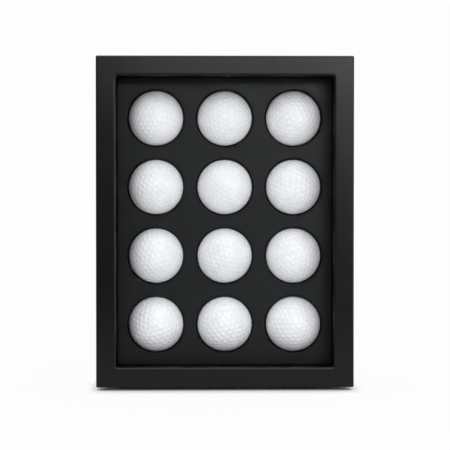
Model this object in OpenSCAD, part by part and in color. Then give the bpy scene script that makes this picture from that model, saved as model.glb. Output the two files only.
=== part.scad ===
// Golf ball display case: a glazed door on butt hinges in front of a mitred box,
// with a moulded tray that seats the balls. X runs left to right, -Y is the front, +Z is up,
// and the origin is on the surface it stands on, under the middle of the case.

/* [Outside] */
// Width of the door and of the case behind it
frame_w = 198; // [188:1:240]
// Height of the door and of the case, without the feet
frame_h = 254.5; // [246:0.5:300]
// Width of the door's face between its outer edge and the opening
face_w = 15.5; // [15:0.5:20]
// Radius on the outer corners, seen from the front
corner_r = 1.5; // [0.5:0.25:3]

/* [Door] */
// Thickness of the door, front to back
door_t = 16; // [14:0.5:22]
// Thickness of the lip in front of the pane
lip_t = 3.5; // [3:0.25:5]
// How far the rebate for the pane reaches under the lip
rebate_w = 5.5; // [4:0.25:6]
// Radius on the outer front edge
outer_edge_r = 1.5; // [0.5:0.25:2.5]
// Radius on the front edge of the opening
inner_edge_r = 1.8; // [0.5:0.1:2.6]
// Radius in the corners of the opening
opening_corner_r = 1.6; // [1.2:0.1:3]
// Thickness of the clear pane
pane_t = 2; // [1.5:0.5:3]

/* [Case] */
// Thickness of the box's boards
board_t = 12; // [11:0.5:12.5]
// Gap between the closed door and the box
door_gap = 1; // [0.8:0.1:1.5]
// Bevel on the door's back edge and the box's front edge
bevel = 3.5; // [3.5:0.25:4]
// Radius on the back edge of the box
back_edge_r = 1.5; // [0.5:0.25:3]
// Height of each rubber foot
foot_h = 2.4; // [1.5:0.1:6]
// Diameter of each rubber foot
foot_d = 12; // [6:1:16]
// Thickness of the back panel
panel_t = 3; // [2:0.5:4]
// Width of the ledge that the back panel lies on
ledge_w = 5; // [4.8:0.1:6]

/* [Balls and tray] */
// Diameter of a golf ball
ball_d = 42.67; // [41:0.01:44]
// Balls side by side
columns = 3; // [2:1:3]
// Balls one above the other
rows = 4; // [2:1:4]
// Width of the tray's face beside the outer pockets
side_margin = 7.8; // [5:0.1:9]
// Height of the tray's face above and below the outer pockets
end_margin = 9.7; // [5:0.1:11]
// Gap round a seated ball
ball_clearance = 0.3; // [0.2:0.05:0.6]
// How far a ball's middle lies behind the face of the tray
ball_sink = 3; // [2:0.5:4]
// Radius on the rim of each pocket
rim_r = 1.2; // [0.8:0.1:2]
// How much wider a pocket is at its rim than at the ball's middle
pocket_flare = 0.5; // [0.3:0.1:1.5]
// Wall of the moulded tray
tray_wall = 1.4; // [1:0.1:1.8]
// Gap between the pane and the balls
crown_gap = 1.2; // [1:0.1:10]

/* [Hinges] */
// Length of each hinge
hinge_l = 25; // [20:1:40]
// Thickness of a hinge leaf
leaf_t = 0.8; // [0.6:0.1:1]
// Radius of a hinge's barrel
barrel_r = 1.6; // [1.4:0.1:1.8]
// Radius of the hinge pin
pin_r = 0.75; // [0.6:0.05:0.8]
// Distance from each end of the door to the middle of its hinge
hinge_inset = 45; // [30:1:80]

/* [Hanging] */
// Thickness of the rail that carries the keyholes
rail_d = 6; // [6:0.5:12]
// Distance between the two keyholes
keyhole_spacing = 100; // [60:1:120]
// Radius of a keyhole's round entry
keyhole_r = 4.5; // [3:0.25:5]
// Width of the slot above the entry
keyhole_slot_w = 4.6; // [3:0.1:5]
// How far the slot rises above the middle of the entry
keyhole_rise = 8; // [6:0.5:9]

/* [Hidden] */
$fn = 48;
eps = 0.01;
round_fn = 96;

// Planes from front to back
pocket_r = ball_d / 2 + ball_clearance;
tray_depth = lip_t + pane_t + crown_gap + ball_d / 2 - ball_sink;
total_d = tray_depth + ball_sink + pocket_r + tray_wall + panel_t + rail_d;
case_d = total_d - door_t - door_gap;
front_y = -total_d / 2;
pane_y = front_y + lip_t;
door_back_y = front_y + door_t;
hinge_y = door_back_y + door_gap / 2;
case_front_y = door_back_y + door_gap;
case_back_y = case_front_y + case_d;
tray_y = front_y + tray_depth;
ball_y = tray_y + ball_sink;
panel_y = ball_y + pocket_r + tray_wall;
panel_back_y = panel_y + panel_t;

// Heights
bottom_z = foot_h;
middle_z = foot_h + frame_h / 2;

// Openings, one behind the other
opening_w = frame_w - 2 * face_w;
opening_h = frame_h - 2 * face_w;
cavity_w = frame_w - 2 * board_t;
cavity_h = frame_h - 2 * board_t;
liner_setback = 1;
liner_t = face_w - board_t - liner_setback;
tray_side_gap = 1.25;
tray_end_gap = 0.7;
field_w = opening_w + 2 * (liner_setback - tray_side_gap);
field_h = opening_h + 2 * (liner_setback - tray_end_gap);
field_corner_r = 1.4;

// The balls are spread evenly between the margins of the tray's face
column_pitch = (field_w - 2 * (side_margin + pocket_r)) / (columns - 1);
row_pitch = (field_h - 2 * (end_margin + pocket_r)) / (rows - 1);

// Tray behind its face
flange_step = 4;
flange_t = 2;
face_t = 2.5;
tray_side_clearance = 0.25;

// Pane and beads
pane_side_clearance = 0.5;
bead_setback = 0.4;
bead_clearance = 0.15;
bead_back_clearance = 0.3;

// Hinges
hinge_axis_inset = 2;
hinge_x = -frame_w / 2 + hinge_axis_inset;
leaf_w = 7.5;
leaf_half_gap = 0.1;
pin_running_clearance = 0.05;
pin_seat_clearance = 0.02;
knuckle_gap = 0.3;
barrel_relief = 0.3;
knuckle_wall = 0.35;
plate_x = barrel_r + barrel_relief;
middle_knuckle = hinge_l / 3;
outer_knuckle = (hinge_l - middle_knuckle) / 2 - knuckle_gap;
pin_head_r = 1.2;
pin_head_t = 0.6;
leaf_screw_reach = 4.6;
hinge_screw_x = hinge_x + leaf_screw_reach;
hinge_screw_z = 7;
hinge_screw_l = 7;
mortise_clearance = 0.15;

// Screws
screw_clearance = 0.03;
small_shank_r = 0.8;
small_head_r = 1.6;
panel_shank_r = 1.1;
panel_head_r = 2.1;
panel_head_t = 1.4;
panel_screw_bite = 4;
panel_screw_l = panel_t + panel_screw_bite;
rail_screw_bite = 5;
plate_screw_l = 5;
drive_share = 0.6;
drive_w = 0.4;
drive_depth = 0.35;

// Catch
magnet_r = 3;
magnet_t = 3;
strike_t = 0.8;
strike_proud = 0.3;
catch_z = 70;
bumper_r = 2.5;
bumper_clearance = 0.1;
bumper_t = door_gap - bumper_clearance;
bumper_inset = 9;
catch_edge = 0.3;
catch_x = frame_w / 2 - (bevel + magnet_r + catch_edge);

// Keys across the mitres
key_t = 2.4;
key_w = 4;
door_key_l = 6;
case_key_l = 8;
case_key_inset = 13;
key_clearance = 0.1;

// Hanging rail
rail_side_clearance = 0.3;
rail_top_z = bottom_z + frame_h - board_t + ledge_w - rail_side_clearance;
plate_t = 1.2;
plate_side = 3.5;
plate_w = 2 * (keyhole_r + plate_side);
head_room = 3.4;
head_room_h = 2 * keyhole_r + keyhole_rise;
plate_screw_edge = 0.7;
plate_end = 1.1;
plate_screw_z = head_room_h / 2 + small_head_r + plate_screw_edge;
plate_h = 2 * (plate_screw_z + small_head_r + plate_end);
rail_margin = 1.5;
rail_h = plate_h + 2 * rail_margin;
rail_screw_inset = 7;
rail_screw_x = cavity_w / 2 - rail_screw_inset;
keyhole_z = rail_top_z - rail_h / 2;

// Screws of the back panel, up its sides below the rail and along its bottom
low_screw_rise = 23;
high_screw_drop = 16;
low_screw_z = bottom_z + board_t + low_screw_rise;
high_screw_z = bottom_z + frame_h - board_t - rail_h - high_screw_drop;
side_screw_z = [low_screw_z, (low_screw_z + high_screw_z) / 2, high_screw_z];
side_screw_x = cavity_w / 2 + ledge_w / 2;
bottom_screw_spacing = 87;
bottom_screw_z = bottom_z + board_t - ledge_w / 2;

foot_inset = 8;
foot_round = 0.6;
foot_front_y = case_front_y + foot_d / 2 + bevel;
foot_rear_y = case_back_y - foot_d / 2 - back_edge_r;

HINGE_ENDS = ["upper", "lower"];
SIDES = ["left", "right"];

function ball_name(r, c) = str("ball_row", r, "_column", c);
function ball_x(c) = (c - (columns + 1) / 2) * column_pitch;
function ball_z(r) = middle_z + ((rows + 1) / 2 - r) * row_pitch;
function hinge_z(end) = middle_z + (end == "upper" ? 1 : -1) * (frame_h / 2 - hinge_inset);
function sign_of(side) = side == "left" ? -1 : 1;

// A plane shape in X and Z, carried from y0 back to y1
module slab(y0, y1) {
    translate([0, y1, 0]) rotate([90, 0, 0]) linear_extrude(height = y1 - y0) children();
}

module rectangle(w, h) {
    translate([-w / 2, middle_z - h / 2]) square([w, h]);
}

module rounded_rectangle(w, h, r) {
    difference() {
        rectangle(w, h);
        for (sx = [0, 1], sz = [0, 1])
            translate([0, middle_z]) mirror([sx, 0]) mirror([0, sz]) translate([-w / 2, -h / 2])
                round_cut(r);
    }
}

// What a round of radius r takes off a square corner at the origin
module round_cut(r) {
    difference() {
        translate([-1, -1]) square(r + 1);
        translate([r, r]) circle(r);
    }
}

module bevel_cut(size) {
    polygon([[-1, -1], [size + 1, -1], [-1, size + 1]]);
}

// Puts a piece on one side of the frame: its X runs along that side, its Z inwards from the outer face
module on_side(side) {
    if (side == "bottom") translate([0, 0, bottom_z]) children();
    if (side == "top") translate([0, 0, bottom_z + frame_h]) rotate([0, 180, 0]) children();
    if (side == "left") translate([-frame_w / 2, 0, middle_z]) rotate([0, 90, 0]) children();
    if (side == "right") translate([frame_w / 2, 0, middle_z]) rotate([0, -90, 0]) children();
}

function side_length(side) = side == "top" || side == "bottom" ? frame_w : frame_h;

// A mitred length with the given section, whose X is depth Y and whose Y is the distance inwards
module mitred(length, inner) {
    intersection() {
        translate([-length / 2, 0, 0]) rotate([90, 0, 90]) linear_extrude(height = length) children();
        rotate([90, 0, 0]) linear_extrude(height = 4 * door_t + 4 * case_d, center = true)
            polygon([
                [-length / 2, 0], [length / 2, 0],
                [length / 2 - inner, inner], [-length / 2 + inner, inner],
            ]);
    }
}

// Takes the outer corners of the frame down to their radius
module outer_corners() {
    intersection() {
        children();
        slab(front_y - 1, case_back_y + 1) rounded_rectangle(frame_w, frame_h, corner_r);
    }
}

// A key across a mitre, in the corner at the given side and end, its middle at depth y
module corner_key(length, centre_in, y, clearance) {
    for (sx = [-1, 1], sz = [-1, 1])
        translate([sx * (frame_w / 2 - centre_in), y, middle_z + sz * (frame_h / 2 - centre_in)])
            rotate([0, sx * sz * 45, 0])
                cube([length + 2 * clearance, key_t + 2 * clearance, key_w + 2 * clearance], center = true);
}

module door_keys(clearance) {
    corner_key(door_key_l, (face_w - rebate_w) / 2, front_y + door_t / 2, clearance);
}

module case_keys(clearance) {
    for (y = [case_front_y + case_key_inset, case_back_y - case_key_inset])
        corner_key(case_key_l, board_t / 2, y, clearance);
}

// A countersunk wood screw, its head flush at the origin and its shank running along +Y
module flat_screw(shank_r, head_r, head_t, length, clearance, drive) {
    rotate([-90, 0, 0]) difference() {
        union() {
            cylinder(r1 = head_r + clearance, r2 = shank_r + clearance, h = head_t);
            cylinder(r = shank_r + clearance, h = length + clearance);
            if (clearance > 0) translate([0, 0, -1]) cylinder(r = head_r + clearance, h = 1 + eps);
        }
        if (drive) cross_recess(head_r);
    }
}

module cross_recess(head_r) {
    for (turn = [0, 90])
        rotate([0, 0, turn]) translate([-drive_share * head_r, -drive_w / 2, -eps])
            cube([2 * drive_share * head_r, drive_w, drive_depth + eps]);
}

/* Door */

module door_section() {
    difference() {
        square([door_t, face_w]);
        translate([lip_t, face_w - rebate_w]) square([door_t, rebate_w + 1]);
        round_cut(outer_edge_r);
        translate([door_t, 0]) mirror([1, 0]) bevel_cut(bevel);
    }
}

// Fills a corner of the opening out to its radius
module opening_fillets(side) {
    reach = side_length(side) / 2 - face_w;
    for (m = [0, 1])
        mirror([m, 0, 0]) translate([-reach, front_y + lip_t, face_w]) rotate([90, 0, 0])
            linear_extrude(height = lip_t) intersection() {
                difference() {
                    square(opening_corner_r);
                    translate([opening_corner_r, opening_corner_r]) circle(opening_corner_r);
                }
                polygon([[0, 0], [opening_corner_r, 0], [opening_corner_r, opening_corner_r]]);
            }
}

// What the round on the opening's front edge takes off, along the sides and round the corners
module opening_round() {
    for (side = ["top", "bottom", "left", "right"]) {
        run = side_length(side) - 2 * (face_w + opening_corner_r);
        on_side(side) translate([-run / 2, front_y, face_w]) rotate([90, 0, 90])
            linear_extrude(height = run) mirror([0, 1]) round_cut(inner_edge_r);
    }
    for (sx = [-1, 1], sz = [-1, 1])
        translate([sx * (opening_w / 2 - opening_corner_r), front_y,
                   middle_z + sz * (opening_h / 2 - opening_corner_r)])
            rotate([-90, 0, 0]) rotate_extrude() translate([opening_corner_r, 0]) round_cut(inner_edge_r);
}

module door_side(side) {
    difference() {
        outer_corners() on_side(side) {
            translate([0, front_y, 0]) mitred(side_length(side), face_w) door_section();
            opening_fillets(side);
        }
        opening_round();
        door_keys(key_clearance);
        if (side == "left") for (end = HINGE_ENDS) hinge_cut(end, -1);
        if (side == "right") strikes(screw_clearance);
    }
}

module door_rail_top() {
    color([0.06, 0.06, 0.065]) door_side("top");
}

module door_rail_bottom() {
    color([0.06, 0.06, 0.065]) door_side("bottom");
}

module door_stile_left() {
    color([0.06, 0.06, 0.065]) door_side("left");
}

module door_stile_right() {
    color([0.06, 0.06, 0.065]) door_side("right");
}

module door_corner_keys() {
    color("burlywood") door_keys(0);
}

module door_pane() {
    edge = 2 * (rebate_w - pane_side_clearance);
    color([0.9, 0.95, 1, 0.25]) slab(pane_y, pane_y + pane_t) rectangle(opening_w + edge, opening_h + edge);
}

module pane_bead(side) {
    inset = face_w - rebate_w + bead_clearance;
    thickness = rebate_w - bead_setback - bead_clearance;
    color([0.05, 0.05, 0.05]) on_side(side) translate([0, pane_y + pane_t, inset])
        mitred(side_length(side) - 2 * inset, thickness)
            square([door_t - lip_t - pane_t - bead_back_clearance, thickness]);
}

/* Hinges */

// The space that a hinge takes in the door (-1) or the case (1)
module hinge_cut(end, way) {
    depth = leaf_half_gap + leaf_t;
    mortise_l = hinge_l + 2 * mortise_clearance;
    y = way > 0 ? hinge_y : hinge_y - depth;
    translate([hinge_x, 0, hinge_z(end)]) {
        translate([-hinge_axis_inset - 1, y, -mortise_l / 2])
            cube([hinge_axis_inset + 1 + leaf_w + mortise_clearance, depth, mortise_l]);
        translate([0, hinge_y, 0])
            cylinder(r = barrel_r + barrel_relief, h = hinge_l + 4 * pin_head_t, center = true);
    }
    hinge_screw_set(end, way, screw_clearance, false);
}

module hinge_screw_set(end, way, clearance, drive) {
    for (sz = [-1, 1])
        translate([hinge_screw_x, hinge_y + way * leaf_half_gap, hinge_z(end) + sz * hinge_screw_z])
            mirror([0, way < 0 ? 1 : 0, 0])
                flat_screw(small_shank_r, small_head_r, leaf_t, hinge_screw_l, clearance, drive);
}

// A knuckle and the tab that joins it to its leaf, which lies between y and y + leaf_t.
// The case's leaf has the two outer knuckles, the door's leaf the middle one
module knuckle(z0, length, y) {
    translate([0, 0, z0]) {
        cylinder(r = barrel_r, h = length);
        translate([pin_r + knuckle_wall, y, 0])
            cube([plate_x + leaf_t - pin_r - knuckle_wall, leaf_t, length]);
    }
}

module hinge_leaf(end, way) {
    bore = way > 0 ? pin_seat_clearance : pin_running_clearance;
    y = way > 0 ? leaf_half_gap : -leaf_half_gap - leaf_t;
    color([0.15, 0.14, 0.13]) difference() {
        translate([hinge_x, hinge_y, hinge_z(end)]) difference() {
            union() {
                translate([plate_x, y, -hinge_l / 2]) cube([leaf_w - plate_x, leaf_t, hinge_l]);
                if (way > 0) {
                    knuckle(-hinge_l / 2, outer_knuckle, y);
                    knuckle(hinge_l / 2 - outer_knuckle, outer_knuckle, y);
                } else {
                    knuckle(-middle_knuckle / 2, middle_knuckle, y);
                }
            }
            cylinder(r = pin_r + bore, h = hinge_l + 2, center = true);
        }
        hinge_screw_set(end, way, screw_clearance, false);
    }
}

module hinge_pin(end) {
    color([0.3, 0.29, 0.27]) translate([hinge_x, hinge_y, hinge_z(end)]) {
        cylinder(r = pin_r, h = hinge_l + 2 * eps, center = true);
        for (m = [0, 1])
            mirror([0, 0, m]) translate([0, 0, hinge_l / 2]) cylinder(r = pin_head_r, h = pin_head_t);
    }
}

module hinge_screws(way) {
    color([0.3, 0.29, 0.27]) for (end = HINGE_ENDS) hinge_screw_set(end, way, 0, true);
}

/* Catch */

module strikes(clearance) {
    for (sz = [-1, 1])
        translate([catch_x, door_back_y - strike_t + strike_proud - clearance, middle_z + sz * catch_z])
            rotate([-90, 0, 0]) cylinder(r = magnet_r + clearance, h = strike_t + 2 * clearance);
}

module magnets(clearance) {
    for (sz = [-1, 1])
        translate([catch_x, case_front_y - clearance, middle_z + sz * catch_z])
            rotate([-90, 0, 0]) cylinder(r = magnet_r + clearance, h = magnet_t + 2 * clearance);
}

module strike_plates() {
    color("silver") strikes(0);
}

module catch_magnets() {
    color("gainsboro") magnets(0);
}

module door_bumpers() {
    color([0.2, 0.2, 0.2])
        for (sx = [-1, 1], sz = [-1, 1])
            translate([sx * catch_x, case_front_y - bumper_t, middle_z + sz * (frame_h / 2 - bumper_inset)])
                rotate([-90, 0, 0]) cylinder(r = bumper_r, h = bumper_t);
}

/* Case */

module case_section() {
    difference() {
        square([case_d, board_t]);
        translate([panel_y - case_front_y, board_t - ledge_w]) square([case_d, ledge_w + 1]);
        bevel_cut(bevel);
        translate([case_d, 0]) mirror([1, 0]) round_cut(back_edge_r);
    }
}

module case_side(side) {
    difference() {
        outer_corners() on_side(side)
            translate([0, case_front_y, 0]) mitred(side_length(side), board_t) case_section();
        case_keys(key_clearance);
        panel_screw_set(screw_clearance, false);
        if (side == "top") rail_screw_set(screw_clearance, false);
        if (side == "left") for (end = HINGE_ENDS) hinge_cut(end, 1);
        if (side == "right") magnets(screw_clearance);
    }
}

module case_top() {
    color([0.05, 0.05, 0.055]) case_side("top");
}

module case_bottom() {
    color([0.05, 0.05, 0.055]) case_side("bottom");
}

module case_side_left() {
    color([0.05, 0.05, 0.055]) case_side("left");
}

module case_side_right() {
    color([0.05, 0.05, 0.055]) case_side("right");
}

module case_corner_keys() {
    color("burlywood") case_keys(0);
}

// Strips that line the box in front of the tray and hold its flange
module liner(side) {
    length = tray_y + flange_step - case_front_y;
    color([0.03, 0.03, 0.03]) on_side(side) translate([0, case_front_y, board_t])
        mitred(side_length(side) - 2 * board_t, liner_t) square([length, liner_t]);
}

module foot(sx, y) {
    x = sx * (frame_w / 2 - board_t / 2 - foot_inset);
    color([0.08, 0.08, 0.08]) translate([x, y, 0]) difference() {
        cylinder(d = foot_d, h = foot_h);
        rotate_extrude() translate([foot_d / 2, 0]) mirror([1, 0]) round_cut(foot_round);
    }
}

/* Tray and balls */

// Half of a pocket's outline: X is the distance from its axis, Y the depth behind the tray's face
module pocket_outline(grow, start) {
    intersection() {
        translate([0, ball_sink]) circle(pocket_r + grow, $fn = round_fn);
        translate([0, ball_sink]) square(pocket_r + grow + 1);
    }
    polygon([
        [0, start], [pocket_r + pocket_flare + grow, start], [pocket_r + pocket_flare + grow, rim_r],
        [pocket_r + grow, ball_sink], [0, ball_sink],
    ]);
}

// The rim's round, from the pocket's wall out to the tray's face
module rim_outline() {
    edge = pocket_r + pocket_flare;
    difference() {
        translate([0, -1]) square([edge + rim_r, rim_r + 1]);
        translate([edge + rim_r, rim_r]) circle(rim_r);
    }
}

module in_pocket() {
    translate([0, tray_y, 0]) rotate([-90, 0, 0]) rotate_extrude($fn = round_fn) children();
}

module tray_outside_field() {
    slab(tray_y, tray_y + flange_step + flange_t / 2) rounded_rectangle(field_w, field_h, field_corner_r);
}

module ball_tray() {
    side_w = cavity_w - 2 * tray_side_clearance;
    side_h = cavity_h - 2 * tray_side_clearance;
    flange_y = tray_y + flange_step;
    color([0.12, 0.125, 0.13]) difference() {
        union() {
            difference() {
                tray_outside_field();
                slab(tray_y + face_t, panel_y)
                    rectangle(field_w - 2 * tray_wall, field_h - 2 * tray_wall);
            }
            difference() {
                slab(flange_y, flange_y + flange_t) rectangle(side_w, side_h);
                slab(flange_y - 1, panel_y)
                    rectangle(field_w - 2 * tray_wall, field_h - 2 * tray_wall);
            }
            difference() {
                slab(flange_y, panel_y) rectangle(side_w, side_h);
                slab(flange_y - 1, panel_y + 1) rectangle(side_w - 2 * tray_wall, side_h - 2 * tray_wall);
            }
            for (r = [1 : rows], c = [1 : columns])
                translate([ball_x(c), 0, ball_z(r)]) in_pocket() pocket_outline(tray_wall, face_t / 2);
        }
        for (r = [1 : rows], c = [1 : columns])
            translate([ball_x(c), 0, ball_z(r)]) in_pocket() {
                pocket_outline(0, 0);
                rim_outline();
            }
    }
}

module ball(r, c) {
    color("white") translate([ball_x(c), ball_y, ball_z(r)]) sphere(d = ball_d, $fn = round_fn);
}

/* Back */

module panel_screw_set(clearance, drive) {
    for (sx = [-1, 1], z = side_screw_z)
        translate([sx * side_screw_x, panel_back_y, z])
            pan_screw(clearance, drive);
    for (sx = [-1, 1])
        translate([sx * bottom_screw_spacing / 2, panel_back_y, bottom_screw_z])
            pan_screw(clearance, drive);
}

// A pan-head screw driven forwards from the back
module pan_screw(clearance, drive) {
    rotate([90, 0, 0]) difference() {
        union() {
            translate([0, 0, -panel_head_t]) cylinder(r = panel_head_r + clearance, h = panel_head_t);
            translate([0, 0, -eps]) cylinder(r = panel_shank_r + clearance, h = panel_screw_l + clearance);
        }
        if (drive) translate([0, 0, -panel_head_t]) cross_recess(panel_head_r);
    }
}

module rail_screw_set(clearance, drive) {
    for (x = [-rail_screw_x, 0, rail_screw_x])
        translate([x, case_back_y, bottom_z + frame_h - board_t + ledge_w / 2])
            mirror([0, 1, 0])
                flat_screw(panel_shank_r, panel_head_r, panel_head_r - panel_shank_r,
                           rail_d + panel_t + rail_screw_bite, clearance, drive);
}

module back_panel() {
    w = cavity_w + 2 * (ledge_w - rail_side_clearance);
    h = cavity_h + 2 * (ledge_w - rail_side_clearance);
    color([0.1, 0.09, 0.085]) difference() {
        slab(panel_y, panel_back_y) rectangle(w, h);
        panel_screw_set(screw_clearance, false);
        rail_screw_set(screw_clearance, false);
    }
}

module panel_screws() {
    color([0.5, 0.5, 0.5]) panel_screw_set(0, true);
}

module rail_screws() {
    color([0.5, 0.5, 0.5]) rail_screw_set(0, true);
}

module keyhole_plate_screws(clearance, drive) {
    for (sx = [-1, 1], sz = [-1, 1])
        translate([sx * keyhole_spacing / 2, case_back_y, keyhole_z + sz * plate_screw_z])
            mirror([0, 1, 0])
                flat_screw(small_shank_r, small_head_r, small_head_r - small_shank_r,
                           plate_screw_l, clearance, drive);
}

module hanging_rail() {
    w = cavity_w + 2 * (ledge_w - rail_side_clearance);
    color([0.07, 0.065, 0.06]) difference() {
        translate([-w / 2, panel_back_y, rail_top_z - rail_h]) cube([w, rail_d, rail_h]);
        for (sx = [-1, 1]) translate([sx * keyhole_spacing / 2, 0, keyhole_z]) {
            translate([-plate_w / 2 - screw_clearance, case_back_y - plate_t,
                       -plate_h / 2 - screw_clearance])
                cube([plate_w + 2 * screw_clearance, plate_t + 1, plate_h + 2 * screw_clearance]);
            translate([-keyhole_r, case_back_y - plate_t - head_room, -head_room_h / 2])
                cube([2 * keyhole_r, head_room + 1, head_room_h]);
        }
        rail_screw_set(screw_clearance, false);
        keyhole_plate_screws(screw_clearance, false);
    }
}

// The entry lies below the middle of the plate, and the slot rises from it
module keyhole_plate(side) {
    entry_z = -keyhole_rise / 2;
    color([0.75, 0.74, 0.7]) difference() {
        translate([sign_of(side) * keyhole_spacing / 2, 0, keyhole_z]) difference() {
            translate([-plate_w / 2, case_back_y - plate_t, -plate_h / 2])
                cube([plate_w, plate_t, plate_h]);
            translate([0, case_back_y + 1, entry_z]) rotate([90, 0, 0]) {
                cylinder(r = keyhole_r, h = plate_t + 2);
                translate([0, keyhole_rise, 0]) cylinder(r = keyhole_slot_w / 2, h = plate_t + 2);
                translate([-keyhole_slot_w / 2, 0, 0]) cube([keyhole_slot_w, keyhole_rise, plate_t + 2]);
            }
        }
        keyhole_plate_screws(screw_clearance, false);
    }
}

module keyhole_screws() {
    color([0.5, 0.5, 0.5]) keyhole_plate_screws(0, true);
}

door_rail_top();
door_rail_bottom();
door_stile_left();
door_stile_right();
door_corner_keys();
door_pane();
pane_bead("top");  // pane_bead_top
pane_bead("bottom");  // pane_bead_bottom
pane_bead("left");  // pane_bead_left
pane_bead("right");  // pane_bead_right
hinge_leaf("upper", -1);  // hinge_leaf_door_upper
hinge_leaf("lower", -1);  // hinge_leaf_door_lower
hinge_screws(-1);  // hinge_screws_door
strike_plates();
case_top();
case_bottom();
case_side_left();
case_side_right();
case_corner_keys();
liner("top");  // liner_top
liner("bottom");  // liner_bottom
liner("left");  // liner_left
liner("right");  // liner_right
ball_tray();
for (r = [1 : rows], c = [1 : columns])
    ball(r, c);
hinge_leaf("upper", 1);  // hinge_leaf_case_upper
hinge_leaf("lower", 1);  // hinge_leaf_case_lower
hinge_pin("upper");  // hinge_pin_upper
hinge_pin("lower");  // hinge_pin_lower
hinge_screws(1);  // hinge_screws_case
catch_magnets();
door_bumpers();
back_panel();
panel_screws();
hanging_rail();
rail_screws();
keyhole_plate("left");  // keyhole_plate_left
keyhole_plate("right");  // keyhole_plate_right
keyhole_screws();
foot(-1, foot_front_y);  // foot_front_left
foot(1, foot_front_y);  // foot_front_right
foot(-1, foot_rear_y);  // foot_rear_left
foot(1, foot_rear_y);  // foot_rear_right
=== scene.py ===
import math

import bpy
import numpy as np
from mathutils import Euler, Matrix, Vector


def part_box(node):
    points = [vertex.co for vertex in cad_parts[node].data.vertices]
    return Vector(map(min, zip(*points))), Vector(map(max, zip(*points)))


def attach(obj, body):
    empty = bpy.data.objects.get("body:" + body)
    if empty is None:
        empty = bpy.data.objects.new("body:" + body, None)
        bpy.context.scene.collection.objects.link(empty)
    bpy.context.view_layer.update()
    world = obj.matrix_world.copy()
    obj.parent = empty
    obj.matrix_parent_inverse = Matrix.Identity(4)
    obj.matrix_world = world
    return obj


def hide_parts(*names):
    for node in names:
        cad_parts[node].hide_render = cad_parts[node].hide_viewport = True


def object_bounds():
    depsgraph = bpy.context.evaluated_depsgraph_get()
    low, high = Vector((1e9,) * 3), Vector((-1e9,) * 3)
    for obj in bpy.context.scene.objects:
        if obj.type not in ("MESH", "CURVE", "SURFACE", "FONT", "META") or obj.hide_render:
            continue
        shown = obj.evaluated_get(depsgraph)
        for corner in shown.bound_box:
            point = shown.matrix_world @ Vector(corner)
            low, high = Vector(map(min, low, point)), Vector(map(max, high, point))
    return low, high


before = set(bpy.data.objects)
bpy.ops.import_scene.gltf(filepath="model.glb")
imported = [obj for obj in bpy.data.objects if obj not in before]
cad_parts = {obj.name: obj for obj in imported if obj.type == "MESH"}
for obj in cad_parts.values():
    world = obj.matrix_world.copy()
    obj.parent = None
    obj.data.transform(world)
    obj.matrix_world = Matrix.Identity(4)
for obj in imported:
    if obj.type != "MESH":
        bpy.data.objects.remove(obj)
cadBox = [list(corner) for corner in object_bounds()]
print("frame loaded:", len(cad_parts), "nodes")


# Node helpers, used by every finish below. In the looks a noise is given by its scale, detail and
# roughness, a relief by the strength and depth of its bump, and a blend by the stops where it starts
# and ends


def newMaterial(name):
    material = bpy.data.materials.new(name)
    material.use_nodes = True
    nodes = material.node_tree.nodes
    nodes.clear()
    out = nodes.new("ShaderNodeOutputMaterial")
    shader = nodes.new("ShaderNodeBsdfPrincipled")
    material.node_tree.links.new(shader.outputs["BSDF"], out.inputs["Surface"])
    return material, shader


def addNode(material, kind, **settings):
    node = material.node_tree.nodes.new(kind)
    for key, value in settings.items():
        if key in node.inputs:
            node.inputs[key].default_value = value
        else:
            setattr(node, key, value)
    return node


def link(material, fromSocket, toSocket):
    material.node_tree.links.new(fromSocket, toSocket)


def objectPoint(material, stretch=(1, 1, 1)):
    coords = addNode(material, "ShaderNodeTexCoord")
    mapping = addNode(material, "ShaderNodeMapping")
    mapping.inputs["Scale"].default_value = stretch
    link(material, coords.outputs["Object"], mapping.inputs["Vector"])
    return mapping.outputs["Vector"]


def noise(material, point, scale, detail=2.0, rough=0.5):
    texture = addNode(material, "ShaderNodeTexNoise", Scale=scale, Detail=detail, Roughness=rough)
    link(material, point, texture.inputs["Vector"])
    return texture.outputs["Fac"]


def blendColours(material, factor, first, second, stops):
    ramp = addNode(material, "ShaderNodeValToRGB")
    start, end = ramp.color_ramp.elements
    start.position, end.position = stops
    start.color, end.color = (*first, 1), (*second, 1)
    link(material, factor, ramp.inputs["Fac"])
    return ramp.outputs["Color"]


# A noise lies between 0.3 and 0.7 nearly everywhere
def rangeOf(material, factor, low, high, fromLow=0.3, fromHigh=0.7):
    spread = addNode(material, "ShaderNodeMapRange")
    spread.inputs["From Min"].default_value = fromLow
    spread.inputs["From Max"].default_value = fromHigh
    spread.inputs["To Min"].default_value = low
    spread.inputs["To Max"].default_value = high
    link(material, factor, spread.inputs["Value"])
    return spread.outputs["Result"]


def bump(material, shader, layers):
    normal = None
    for height, strength, distance in layers:
        node = addNode(material, "ShaderNodeBump", Strength=strength, Distance=distance)
        link(material, height, node.inputs["Height"])
        if normal is not None:
            link(material, normal, node.inputs["Normal"])
        normal = node.outputs["Normal"]
    link(material, normal, shader.inputs["Normal"])


def dress(material, *names):
    for name in names:
        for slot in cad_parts[name].material_slots:
            slot.material = material


def nodesStarting(*starts):
    return [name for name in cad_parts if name.startswith(starts)]


# Lacquered wood of the door and the box

lacquerLook = {
    "deep": (0.0018, 0.0018, 0.0020),
    "pale": (0.0029, 0.0029, 0.0032),
    "stops": (0.35, 0.7),
    "roughness": (0.22, 0.28),
    "specular": 0.22,
    "alongLevel": (0.06, 1, 1),  # the grain is drawn out along each member
    "alongUpright": (1, 1, 0.06),
    "grain": (120, 5, 0.6),
    "grainRelief": (0.12, 0.00002),
    "cloud": (22, 3),
    "peel": (420, 2),
    "peelRelief": (0.25, 0.00002),
    "dust": (2600, 1),
    "dustRelief": (0.15, 0.00001),
}


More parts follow.
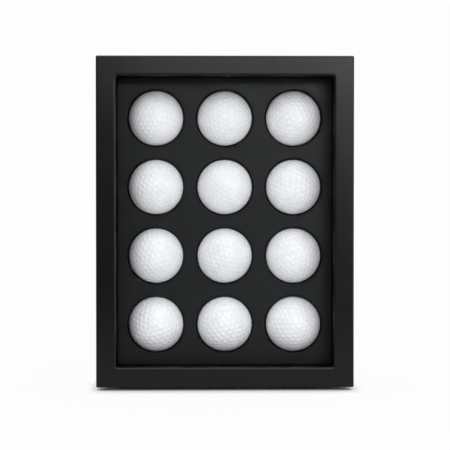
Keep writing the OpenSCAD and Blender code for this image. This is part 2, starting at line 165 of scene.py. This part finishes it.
def lacquer(name, stretch):
    look = lacquerLook
    material, shader = newMaterial(name)
    point = objectPoint(material)
    grain = noise(material, objectPoint(material, stretch), *look["grain"])
    cloud = noise(material, point, *look["cloud"])
    peel = noise(material, point, *look["peel"])
    dust = noise(material, point, *look["dust"])
    colour = blendColours(material, grain, look["deep"], look["pale"], look["stops"])
    link(material, colour, shader.inputs["Base Color"])
    link(material, rangeOf(material, cloud, *look["roughness"]), shader.inputs["Roughness"])
    shader.inputs["Specular IOR Level"].default_value = look["specular"]
    bump(material, shader, [
        (grain, *look["grainRelief"]),
        (peel, *look["peelRelief"]),
        (dust, *look["dustRelief"]),
    ])
    return material


levelLacquer = lacquer("satinBlackLevel", lacquerLook["alongLevel"])
uprightLacquer = lacquer("satinBlackUpright", lacquerLook["alongUpright"])
dress(levelLacquer, "door_rail_top", "door_rail_bottom", "case_top", "case_bottom")
dress(uprightLacquer, "door_stile_left", "door_stile_right", "case_side_left", "case_side_right")


# Dull black parts round the opening, the feet and bumpers, and the back panel

dullLooks = {
    "glazingBead": {
        "colour": (0.0015, 0.0015, 0.0015), "roughness": (0.6, 0.75), "specular": 0.12,
        "fine": (900, 3, 0.7), "relief": (0.5, 0.00003),
    },
    "flockedLiner": {
        "colour": (0.0008, 0.0008, 0.0008), "roughness": (0.92, 1.0), "specular": 0.03,
        "fine": (2400, 3, 0.7), "relief": (0.5, 0.0002),
    },
    "blackRubber": {
        "colour": (0.014, 0.014, 0.015), "roughness": (0.7, 0.85), "specular": 0.25,
        "fine": (700, 3, 0.7), "relief": (0.5, 0.00005),
    },
    "hardboard": {
        "colour": (0.024, 0.020, 0.017), "roughness": (0.7, 0.9), "specular": 0.25,
        "fine": (800, 3, 0.7), "relief": (0.5, 0.00015),
    },
}
dullShared = {"paler": 1.5, "stops": (0.3, 0.75), "broad": (40, 2)}


def dull(name):
    look, shared = dullLooks[name], dullShared
    material, shader = newMaterial(name)
    point = objectPoint(material)
    fine = noise(material, point, *look["fine"])
    broad = noise(material, point, *shared["broad"])
    pale = tuple(shared["paler"] * channel for channel in look["colour"])
    colour = blendColours(material, fine, look["colour"], pale, shared["stops"])
    link(material, colour, shader.inputs["Base Color"])
    link(material, rangeOf(material, broad, *look["roughness"]), shader.inputs["Roughness"])
    shader.inputs["Specular IOR Level"].default_value = look["specular"]
    bump(material, shader, [(fine, *look["relief"])])
    return material


dress(dull("glazingBead"), *nodesStarting("pane_bead"))
dress(dull("flockedLiner"), *nodesStarting("liner"))
dress(dull("blackRubber"), *nodesStarting("foot", "door_bumpers"))
dress(dull("hardboard"), "back_panel")


# Moulded tray

trayLook = {
    "deep": (0.0042, 0.0056, 0.0062),
    "pale": (0.0054, 0.0070, 0.0077),
    "stops": (0.3, 0.7),
    "roughness": (0.38, 0.46),
    "specular": 0.22,
    "cloud": (30, 3),
    "grain": (1500, 2, 0.6),
    "grainRelief": (0.3, 0.00004),
}


def tray():
    look = trayLook
    material, shader = newMaterial("mouldedTray")
    point = objectPoint(material)
    grain = noise(material, point, *look["grain"])
    cloud = noise(material, point, *look["cloud"])
    colour = blendColours(material, cloud, look["deep"], look["pale"], look["stops"])
    link(material, colour, shader.inputs["Base Color"])
    link(material, rangeOf(material, cloud, *look["roughness"]), shader.inputs["Roughness"])
    shader.inputs["Specular IOR Level"].default_value = look["specular"]
    bump(material, shader, [(grain, *look["grainRelief"])])
    return material


dress(tray(), "ball_tray")


# Clear pane

paneLook = {
    "tint": (0.004, 0.005, 0.005),
    "alpha": 0.02,
    "roughness": (0.04, 0.09),
    "specular": 0.2,
    "smear": (18, 4),
    "smearStretch": (1, 1, 0.5),
}


def clearPane():
    look = paneLook
    material, shader = newMaterial("clearPane")
    smear = noise(material, objectPoint(material, look["smearStretch"]), *look["smear"])
    shader.inputs["Base Color"].default_value = (*look["tint"], 1)
    shader.inputs["Alpha"].default_value = look["alpha"]
    shader.inputs["Specular IOR Level"].default_value = look["specular"]
    link(material, rangeOf(material, smear, *look["roughness"]), shader.inputs["Roughness"])
    return material


dress(clearPane(), "door_pane")


# Metal

metalLooks = {
    "blackOxide": {
        "colour": (0.030, 0.028, 0.026), "worn": (0.075, 0.070, 0.064), "roughness": (0.34, 0.5),
    },
    "nickelPlate": {
        "colour": (0.60, 0.58, 0.54), "worn": (0.72, 0.70, 0.66), "roughness": (0.18, 0.3),
    },
    "brightZinc": {
        "colour": (0.50, 0.51, 0.52), "worn": (0.62, 0.63, 0.62), "roughness": (0.28, 0.45),
    },
}
metalShared = {
    "metallic": 0.95,
    "patches": (260, 4, 0.6),
    "stops": (0.35, 0.7),
    "brushed": (350, 3),
    "brushedStretch": (1, 1, 14),
    "brushedRelief": (0.12, 0.00002),
}


def metal(name):
    look, shared = metalLooks[name], metalShared
    material, shader = newMaterial(name)
    point = objectPoint(material)
    patches = noise(material, point, *shared["patches"])
    brushed = noise(material, objectPoint(material, shared["brushedStretch"]), *shared["brushed"])
    colour = blendColours(material, patches, look["colour"], look["worn"], shared["stops"])
    link(material, colour, shader.inputs["Base Color"])
    link(material, rangeOf(material, brushed, *look["roughness"]), shader.inputs["Roughness"])
    shader.inputs["Metallic"].default_value = shared["metallic"]
    bump(material, shader, [(brushed, *shared["brushedRelief"])])
    return material


dress(metal("blackOxide"), *nodesStarting("hinge"))
dress(metal("nickelPlate"), "strike_plates", "catch_magnets")
dress(metal("brightZinc"), *nodesStarting("panel_screws", "rail_screws", "keyhole"))


# Wood that isn't lacquered: the keys across the mitres and the hanging rail

woodLooks = {
    "keyWood": {
        "dark": (0.36, 0.22, 0.11), "light": (0.58, 0.40, 0.22), "stretch": (0.15, 1, 0.15),
    },
    "stainedWood": {
        "dark": (0.010, 0.009, 0.008), "light": (0.028, 0.025, 0.022), "stretch": (0.05, 1, 1),
    },
}
woodShared = {
    "stops": (0.3, 0.72),
    "roughness": (0.55, 0.78),
    "rings": (90, 4, 0.65),
    "ringsRelief": (0.25, 0.0001),
    "pores": (520, 3, 0.7),
    "poresRelief": (0.3, 0.00005),
}


def wood(name):
    look, shared = woodLooks[name], woodShared
    material, shader = newMaterial(name)
    point = objectPoint(material, look["stretch"])
    rings = noise(material, point, *shared["rings"])
    pores = noise(material, point, *shared["pores"])
    colour = blendColours(material, rings, look["dark"], look["light"], shared["stops"])
    link(material, colour, shader.inputs["Base Color"])
    link(material, rangeOf(material, pores, *shared["roughness"]), shader.inputs["Roughness"])
    bump(material, shader, [(rings, *shared["ringsRelief"]), (pores, *shared["poresRelief"])])
    return material


dress(wood("keyWood"), "door_corner_keys", "case_corner_keys")
dress(wood("stainedWood"), "hanging_rail")
print("finishes set")


# Golf balls: a geodesic sphere whose dimples stand at its coarse points

ballLook = {
    "dimpleRows": 6,  # dimple spacings along each edge of the icosahedron
    "steps": 8,  # mesh steps between neighbouring dimples
    "dimpleShare": 0.47,  # dimple radius, as a share of the distance to its nearest neighbour
    "dimpleDepth": 0.00042,
    "edgeSoftness": 0.06,
    "tilt": (0.5, 0.9, 1.3),  # so that no row of dimples runs level or upright
    "seed": 7,  # of the order in which the balls are turned
    "colour": (0.88, 0.893, 0.915),
    "shade": (0.82, 0.833, 0.862),
    "stops": (0.3, 0.65),
    "roughness": (0.2, 0.3),
    "specular": 0.3,
    "coat": 0.1,
    "coatRoughness": 0.15,
    "cloud": (90, 3),
    "fine": (1400, 2),
    "fineRelief": (0.05, 0.00001),
}
tiny = 1e-9  # below this an angle or a share counts as nought
sameDigits = 6  # points that agree to so many digits are one point


def icosahedron():
    golden = (1 + math.sqrt(5)) / 2
    corners = []
    for a in (-1, 1):
        for b in (-golden, golden):
            corners += [(0, a, b), (a, b, 0), (b, 0, a)]
    corners = [Vector(corner).normalized() for corner in corners]
    slack = 1.01  # the edges are the shortest distances, give or take rounding
    edge = min((corners[0] - other).length for other in corners[1:]) * slack
    faces = []
    for i in range(len(corners)):
        for j in range(i + 1, len(corners)):
            for k in range(j + 1, len(corners)):
                a, b, c = corners[i], corners[j], corners[k]
                if max((a - b).length, (b - c).length, (c - a).length) < edge:
                    faces.append((i, j, k) if (b - a).cross(c - a).dot(a) > 0 else (i, k, j))
    return corners, faces


# A point on a face of the icosahedron, found by turning along two edges and then across, and that
# from each of the three corners, which keeps the spacing nearly even
def facePoint(a, b, c, u, v, w):
    def turn(p, q, share):
        angle = math.acos(max(-1.0, min(1.0, p.dot(q))))
        if angle < tiny:
            return p.copy()
        return (p * math.sin((1 - share) * angle) + q * math.sin(share * angle)) / math.sin(angle)

    total = Vector((0, 0, 0))
    for p, q, r, x, y, z in ((a, b, c, u, v, w), (b, c, a, v, w, u), (c, a, b, w, u, v)):
        if x > 1 - tiny:
            total += p
            continue
        left = turn(p, q, 1 - x)
        right = turn(p, r, 1 - x)
        total += turn(left, right, z / (y + z))
    return total.normalized()


# Points, which of them are coarse ones, and triangles that face outward
def geodesic(steps, coarse):
    corners, faces = icosahedron()
    index, points, onCoarse, triangles = {}, [], [], []
    for face in faces:
        a, b, c = (corners[i] for i in face)
        grid = {}
        for i in range(steps + 1):
            for j in range(steps + 1 - i):
                k = steps - i - j
                point = facePoint(a, b, c, i / steps, j / steps, k / steps)
                key = tuple(round(value, sameDigits) + 0.0 for value in point)  # no minus nought
                if key not in index:
                    index[key] = len(points)
                    points.append(point)
                    onCoarse.append(i % coarse == 0 and j % coarse == 0 and k % coarse == 0)
                grid[i, j] = index[key]
        for i in range(steps):
            for j in range(steps - i):
                triangles.append((grid[i, j], grid[i + 1, j], grid[i, j + 1]))
                if i + j < steps - 1:
                    triangles.append((grid[i + 1, j], grid[i + 1, j + 1], grid[i, j + 1]))
    points = np.array(points)
    outward = []
    for p, q, r in triangles:
        normal = np.cross(points[q] - points[p], points[r] - points[p])
        outward.append((p, q, r) if normal.dot(points[p]) > 0 else (p, r, q))
    return points, np.array(onCoarse), outward


# Every point goes in by its place in the nearest dimple's bowl, with a softened rim
def ballMesh(radius):
    look = ballLook
    points, onCoarse, triangles = geodesic(look["dimpleRows"] * look["steps"], look["steps"])
    centres = points[onCoarse]
    near = np.sort(np.arccos(np.clip(centres @ centres.T, -1, 1)), axis=1)[:, 1]
    angles = np.arccos(np.clip(points @ centres.T, -1, 1))
    nearest = angles.argmin(axis=1)
    reach = angles[np.arange(len(points)), nearest] / (look["dimpleShare"] * near[nearest])
    bowl = np.clip(1 - reach ** 2, 0, None)
    soft = look["edgeSoftness"]
    depth = np.sqrt(bowl ** 2 + soft ** 2) - soft
    depth = look["dimpleDepth"] * depth / (math.sqrt(1 + soft ** 2) - soft)
    tilt = np.array(Euler(look["tilt"]).to_matrix())
    placed = (points * (radius - depth)[:, None]) @ tilt.T
    mesh = bpy.data.meshes.new("dimpledBall")
    mesh.from_pydata(placed.tolist(), [], triangles)
    mesh.polygons.foreach_set("use_smooth", [True] * len(mesh.polygons))
    mesh.update()
    print("ball mesh:", len(centres), "dimples,", len(mesh.polygons), "faces")
    return mesh


def ballCover():
    look = ballLook
    material, shader = newMaterial("ballCover")
    point = objectPoint(material)
    cloud = noise(material, point, *look["cloud"])
    fine = noise(material, point, *look["fine"])
    colour = blendColours(material, cloud, look["shade"], look["colour"], look["stops"])
    link(material, colour, shader.inputs["Base Color"])
    link(material, rangeOf(material, cloud, *look["roughness"]), shader.inputs["Roughness"])
    shader.inputs["Specular IOR Level"].default_value = look["specular"]
    shader.inputs["Coat Weight"].default_value = look["coat"]
    shader.inputs["Coat Roughness"].default_value = look["coatRoughness"]
    bump(material, shader, [(fine, *look["fineRelief"])])
    return material


ballNodes = sorted(nodesStarting("ball_row"))
lowest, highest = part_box(ballNodes[0])
cover = ballMesh((highest.x - lowest.x) / 2)
cover.materials.append(ballCover())
# A tilted ball has 24 ways to lie in quarter turns: six sides can face the front, and each can be
# rolled four ways. Each pocket gets another one
quarterTurn = math.pi / 2
sides = [("X", 0), ("X", 1), ("X", 2), ("X", 3), ("Z", 1), ("Z", 3)]
ways = [(axis, tip, roll) for axis, tip in sides for roll in range(4)]
picks = np.random.default_rng(ballLook["seed"]).permutation(len(ways))
for name, pick in zip(ballNodes, picks):
    axis, tip, roll = ways[pick]
    lowest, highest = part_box(name)
    ball = bpy.data.objects.new(name.replace("ball_", "golfBall_"), cover)
    bpy.context.scene.collection.objects.link(ball)
    spin = Matrix.Rotation(roll * quarterTurn, 4, "Y") @ Matrix.Rotation(tip * quarterTurn, 4, axis)
    ball.matrix_world = Matrix.Translation((lowest + highest) / 2) @ spin
    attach(ball, "case")
    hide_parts(name)
print("balls placed:", len(ballNodes))


# Floor: a round sheet of white paper

shownWhite = 0.985  # what the camera sees of the room, and of paper that lies in no shadow
paperLook = {
    "colour": (0.80, 0.80, 0.80),
    "roughness": 0.9,
    "specular": 0.1,
    "fibre": (300, 3),
    "fibreRelief": (0.03, 0.00005),
    "radius": 0.50,
    "rings": 12,
    "spokes": 96,
    "shadowShare": 0.06,  # how much of its shadow the paper keeps in the open
    "underCase": 1.0,  # how much of it the paper keeps close to the case
    "closeInset": 0.002,  # that starts to give way so far inside the case's box
    "closeReach": {"X": 0.007, "Y": 0.020},  # and is over so far outside it
    "fadeFrom": 0.24,  # where the shadow starts to fade towards the sheet's edge
    "fadeTo": 0.96,  # and where it is gone, as a share of the radius
}


def paperMesh():
    rings, spokes = paperLook["rings"], paperLook["spokes"]
    points = [(0, 0, 0)]
    for ring in range(1, rings + 1):
        for spoke in range(spokes):
            angle = 2 * math.pi * spoke / spokes
            reach = paperLook["radius"] * ring / rings
            points.append((reach * math.cos(angle), reach * math.sin(angle), 0))
    faces = [(0, 1 + spoke, 1 + (spoke + 1) % spokes) for spoke in range(spokes)]
    for ring in range(rings - 1):
        start = 1 + ring * spokes
        for spoke in range(spokes):
            after = (spoke + 1) % spokes
            faces.append((start + spoke, start + spokes + spoke, start + spokes + after, start + after))
    mesh = bpy.data.meshes.new("paper")
    mesh.from_pydata(points, [], faces)
    mesh.update()
    return mesh


def calculate(material, operation, *terms):
    node = addNode(material, "ShaderNodeMath", operation=operation)
    for socket, term in zip(node.inputs, terms):
        if isinstance(term, float):
            socket.default_value = term
        else:
            link(material, term, socket)
    return node.outputs[0]


def mixShaders(material, factor, one, other):
    node = addNode(material, "ShaderNodeMixShader")
    for socket, source in zip(node.inputs, (factor, one, other)):
        link(material, source, socket)
    return node.outputs[0]


# How much of its shadow the paper keeps: nearly none in the open, all round the foot of the case
def shadowKept(material):
    look = paperLook
    low, high = (Vector(corner) for corner in cadBox)
    middle, half = (low + high) / 2, (high - low) / 2
    point = addNode(material, "ShaderNodeTexCoord").outputs["Object"]
    parts = addNode(material, "ShaderNodeSeparateXYZ")
    link(material, point, parts.inputs["Vector"])
    masks = []
    for axis, centre, size in (("X", middle.x, half.x), ("Y", middle.y, half.y)):
        away = calculate(material, "ABSOLUTE", calculate(material, "SUBTRACT", parts.outputs[axis], centre))
        inner, outer = size - look["closeInset"], size + look["closeReach"][axis]
        masks.append(rangeOf(material, away, 1, 0, inner, outer))
    close = calculate(material, "MULTIPLY", *masks)
    share = rangeOf(material, close, look["shadowShare"], look["underCase"], 0, 1)
    reach = addNode(material, "ShaderNodeVectorMath", operation="LENGTH")
    link(material, point, reach.inputs[0])
    gone = look["radius"] * look["fadeTo"]
    fade = rangeOf(material, reach.outputs["Value"], 1, 0, look["fadeFrom"], gone)
    return calculate(material, "MULTIPLY", share, fade)


# To the lamps this is plain paper. Seen by the camera, in gloss or through the pane it is white
# wherever it doesn't keep its shadow
def paperMaterial():
    look = paperLook
    material, shader = newMaterial("paper")
    out = next(node for node in material.node_tree.nodes if node.type == "OUTPUT_MATERIAL")
    shader.inputs["Base Color"].default_value = (*look["colour"], 1)
    shader.inputs["Roughness"].default_value = look["roughness"]
    shader.inputs["Specular IOR Level"].default_value = look["specular"]
    fibre = noise(material, objectPoint(material), *look["fibre"])
    bump(material, shader, [(fibre, *look["fibreRelief"])])
    path = addNode(material, "ShaderNodeLightPath").outputs
    seen = calculate(material, "MAXIMUM", path["Is Camera Ray"], path["Is Glossy Ray"])
    seen = calculate(material, "MAXIMUM", seen, path["Is Transmission Ray"])
    glow = addNode(material, "ShaderNodeEmission", Strength=shownWhite)
    plain = shader.outputs["BSDF"]
    shown = mixShaders(material, shadowKept(material), glow.outputs[0], plain)
    link(material, mixShaders(material, seen, plain, shown), out.inputs["Surface"])
    return material


paper = bpy.data.objects.new("paper", paperMesh())
paper.data.materials.append(paperMaterial())
bpy.context.scene.collection.objects.link(paper)


# Lamps, all turned to the middle of the case

lampLooks = {
    "keyLamp": {"place": (0.40, -1.05, 0.37), "size": (0.3, 0.6), "power": 2.4},
    "topLamp": {"place": (0.24, -1.18, 0.475), "size": (0.84, 0.20), "power": 3.6},
    "fillLamp": {"place": (-1.00, -1.20, 0.25), "size": (0.9, 0.9), "power": 0.9},
}
lampAim = Vector((0, 0, 0.13))


def turnedTo(holder, target):
    return (target - holder.location).to_track_quat("-Z", "Y").to_euler()


for name, look in lampLooks.items():
    lamp = bpy.data.lights.new(name, "AREA")
    lamp.shape = "RECTANGLE"
    lamp.size, lamp.size_y = look["size"]
    lamp.energy = look["power"]
    holder = bpy.data.objects.new(name, lamp)
    holder.location = look["place"]
    holder.rotation_euler = turnedTo(holder, lampAim)
    bpy.context.scene.collection.objects.link(holder)


# The room is white for the camera and through the pane. Dull surfaces get a soft tent. Gloss sees
# white behind the case, a dim room in front of it, and soft panels overhead and low on the right.
# Each pair says where, in the direction looked in, one part of the room turns into the next

roomLook = {
    "tentLow": 0.80,
    "tentHigh": 1.33,
    "tentRise": (-0.3, 1),  # in Z
    "tentFront": 0.08,  # the tent is weak where the camera stands
    "tentFrontEdge": (-0.95, -0.55),  # in Y
    "dimLevel": 0.20,
    "dimEdge": (-0.05, 0.25),  # in Y
    "sideLevel": 2.8,
    "sideEdge": (0.6, 0.8),  # in X
    "sideTop": (0.05, 0.2),  # in Z
    "ceilingLevel": 4.3,
    "ceilingEdge": (0.6, 0.9),  # in Z
}
world = bpy.data.worlds.new("room")
world.use_nodes = True
bpy.context.scene.world = world
roomNodes, roomLinks = world.node_tree.nodes, world.node_tree.links
roomNodes.clear()
roomOut = roomNodes.new("ShaderNodeOutputWorld")
rays = roomNodes.new("ShaderNodeLightPath").outputs
direction = roomNodes.new("ShaderNodeTexCoord")
split = roomNodes.new("ShaderNodeSeparateXYZ")
roomLinks.new(direction.outputs["Generated"], split.inputs["Vector"])


def level(strength):
    node = roomNodes.new("ShaderNodeBackground")
    node.inputs["Color"].default_value = (strength, strength, strength, 1)
    return node.outputs[0]


def ramp(axis, low, high):
    node = roomNodes.new("ShaderNodeMapRange")
    node.inputs["From Min"].default_value = low
    node.inputs["From Max"].default_value = high
    roomLinks.new(split.outputs[axis], node.inputs["Value"])
    return node.outputs["Result"]


def either(factor, one, other):
    node = roomNodes.new("ShaderNodeMixShader")
    for socket, source in zip(node.inputs, (factor, one, other)):
        roomLinks.new(source, socket)
    return node.outputs[0]


white = level(shownWhite)
tent = either(ramp("Z", *roomLook["tentRise"]), level(roomLook["tentLow"]), level(roomLook["tentHigh"]))
tent = either(ramp("Y", *roomLook["tentFrontEdge"]), level(roomLook["tentFront"]), tent)
inGloss = either(ramp("Y", *roomLook["dimEdge"]), level(roomLook["dimLevel"]), white)
sidePanel = either(ramp("Z", *roomLook["sideTop"]), level(roomLook["sideLevel"]), inGloss)
inGloss = either(ramp("X", *roomLook["sideEdge"]), inGloss, sidePanel)
inGloss = either(ramp("Z", *roomLook["ceilingEdge"]), inGloss, level(roomLook["ceilingLevel"]))
shown = either(rays["Is Glossy Ray"], tent, inGloss)
shown = either(rays["Is Transmission Ray"], shown, white)
shown = either(rays["Is Camera Ray"], shown, white)
roomLinks.new(shown, roomOut.inputs["Surface"])


# Camera, nearly straight in front of the door and a little above its middle

cameraLook = {
    "fromFront": 1.050,  # metres in front of the door
    "x": -0.016,
    "z": 0.1447,
    "aimX": -0.0001,
    "aimZ": 0.1272,
    "focalPixels": 1371,
    "pictureWidth": 450,
    "sensorWidth": 36,
    "clip": (0.05, 40),
}
front = Vector(cadBox[0]).y
camera = bpy.data.cameras.new("camera")
camera.sensor_width = cameraLook["sensorWidth"]
camera.lens = cameraLook["focalPixels"] / cameraLook["pictureWidth"] * camera.sensor_width
camera.clip_start, camera.clip_end = cameraLook["clip"]
eye = bpy.data.objects.new("camera", camera)
eye.location = (cameraLook["x"], front - cameraLook["fromFront"], cameraLook["z"])
eye.rotation_euler = turnedTo(eye, Vector((cameraLook["aimX"], front, cameraLook["aimZ"])))
bpy.context.scene.collection.objects.link(eye)
bpy.context.scene.camera = eye
bpy.context.scene.view_settings.view_transform = "Standard"
print("camera and lamps set")
